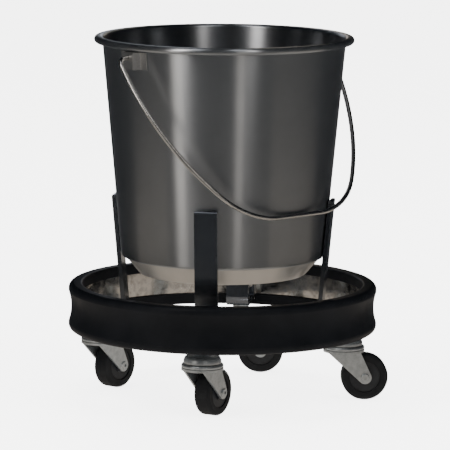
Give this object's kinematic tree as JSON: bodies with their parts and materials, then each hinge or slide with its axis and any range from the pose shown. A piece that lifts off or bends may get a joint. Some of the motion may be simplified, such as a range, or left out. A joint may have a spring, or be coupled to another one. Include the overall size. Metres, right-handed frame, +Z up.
{
  "type": "kick bucket",
  "caption": "Tapered stainless pail with a rolled rim and swinging wire bail, held between the flat uprights of a rubber-bumpered ring stand on swivel casters.",
  "frame": {"origin": "on the floor, under the centre line of the pail and hoop", "axes": "+Z up; an upright and its caster lie on each of +X, +Y, -X and -Y; the side seen first is -Y, turned 9 degrees; the bail's hinge line runs 52 degrees from +X towards +Y"},
  "size_m": [0.3584, 0.3438, 0.4035],
  "materials": {
    "pail_stainless": "satin-polished drawn stainless, wall ground round the pail, rim brighter",
    "foot_stainless": "satin stainless",
    "ear_stainless": "tumbled pressed stainless",
    "bail_wire": "bright drawn stainless wire",
    "hoop_plated": "bright nickel-chrome plate on rolled band",
    "bumper_rubber": "smooth extruded black rubber, semi-gloss",
    "rivet_steel": "plain bright steel",
    "upright_plated": "nickel-chrome plate on flat bar, satin",
    "caster_zinc": "bright zinc plate on pressed steel",
    "bearing_steel": "ground and hardened steel",
    "wheel_rubber": "hard black moulded rubber, dull",
    "wheel_hub_plastic": "moulded black hub, slightly glossier than the tyre"
  },
  "bodies": {
    "stand": {"stand_hoop": "hoop_plated", "rubber_bumper": "bumper_rubber", "foot_rivets": "rivet_steel", "caster_washers": "rivet_steel", "caster_nuts": "caster_zinc", "upright_front": "upright_plated", "upright_right": "upright_plated", "upright_back": "upright_plated", "upright_left": "upright_plated", "caster_stem_front": "caster_zinc", "caster_stem_right": "caster_zinc", "caster_stem_back": "caster_zinc", "caster_stem_left": "caster_zinc", "caster_cup_front": "caster_zinc", "caster_cup_right": "caster_zinc", "caster_cup_back": "caster_zinc", "caster_cup_left": "caster_zinc"},
    "bucket": {"pail_shell": "pail_stainless", "pail_foot_ring": "foot_stainless", "bail_ear_left": "ear_stainless", "bail_ear_right": "ear_stainless"},
    "bail": {"bail_handle": "bail_wire"},
    "swivel_front": {"caster_fork_front": "caster_zinc", "caster_axle_front": "caster_zinc", "caster_balls_front": "bearing_steel"},
    "wheel_front": {"wheel_tyre_front": "wheel_rubber", "wheel_hub_front": "wheel_hub_plastic", "wheel_bushing_front": "bearing_steel"},
    "swivel_right": {"caster_fork_right": "caster_zinc", "caster_axle_right": "caster_zinc", "caster_balls_right": "bearing_steel"},
    "wheel_right": {"wheel_tyre_right": "wheel_rubber", "wheel_hub_right": "wheel_hub_plastic", "wheel_bushing_right": "bearing_steel"},
    "swivel_back": {"caster_fork_back": "caster_zinc", "caster_axle_back": "caster_zinc", "caster_balls_back": "bearing_steel"},
    "wheel_back": {"wheel_tyre_back": "wheel_rubber", "wheel_hub_back": "wheel_hub_plastic", "wheel_bushing_back": "bearing_steel"},
    "swivel_left": {"caster_fork_left": "caster_zinc", "caster_axle_left": "caster_zinc", "caster_balls_left": "bearing_steel"},
    "wheel_left": {"wheel_tyre_left": "wheel_rubber", "wheel_hub_left": "wheel_hub_plastic", "wheel_bushing_left": "bearing_steel"}
  },
  "joints": [
    {"name": "bucket_lift", "type": "slide", "parent": "stand", "child": "bucket", "axis": [0, 0, 1], "range_m": [0, 0.12]},
    {"name": "bail_swing", "type": "hinge", "parent": "bucket", "child": "bail", "pos_m": [0, 0, 0.388], "axis": [-0.6157, -0.788, 0], "range_deg": [0, 289.5]},
    {"name": "swivel_front_turn", "type": "hinge", "parent": "stand", "child": "swivel_front", "pos_m": [0, -0.13721, 0.026], "axis": [0, 0, 1], "continuous": true},
    {"name": "wheel_front_roll", "type": "hinge", "parent": "swivel_front", "child": "wheel_front", "pos_m": [0.00824, -0.11574, 0.026], "axis": [-0.9336, 0.3584, 0], "continuous": true},
    {"name": "swivel_right_turn", "type": "hinge", "parent": "stand", "child": "swivel_right", "pos_m": [0.13721, 0, 0.026], "axis": [0, 0, 1], "continuous": true},
    {"name": "wheel_right_roll", "type": "hinge", "parent": "swivel_right", "child": "wheel_right", "pos_m": [0.15971, 0.00478, 0.026], "axis": [-0.2079, 0.9781, 0], "continuous": true},
    {"name": "swivel_back_turn", "type": "hinge", "parent": "stand", "child": "swivel_back", "pos_m": [0, 0.13721, 0.026], "axis": [0, 0, 1], "continuous": true},
    {"name": "wheel_back_roll", "type": "hinge", "parent": "swivel_back", "child": "wheel_back", "pos_m": [0.02272, 0.14081, 0.026], "axis": [-0.1564, 0.9877, 0], "continuous": true},
    {"name": "swivel_left_turn", "type": "hinge", "parent": "stand", "child": "swivel_left", "pos_m": [-0.13721, 0, 0.026], "axis": [0, 0, 1], "continuous": true},
    {"name": "wheel_left_roll", "type": "hinge", "parent": "swivel_left", "child": "wheel_left", "pos_m": [-0.12606, 0.02012, 0.026], "axis": [-0.8746, 0.4848, 0], "continuous": true}
  ]
}
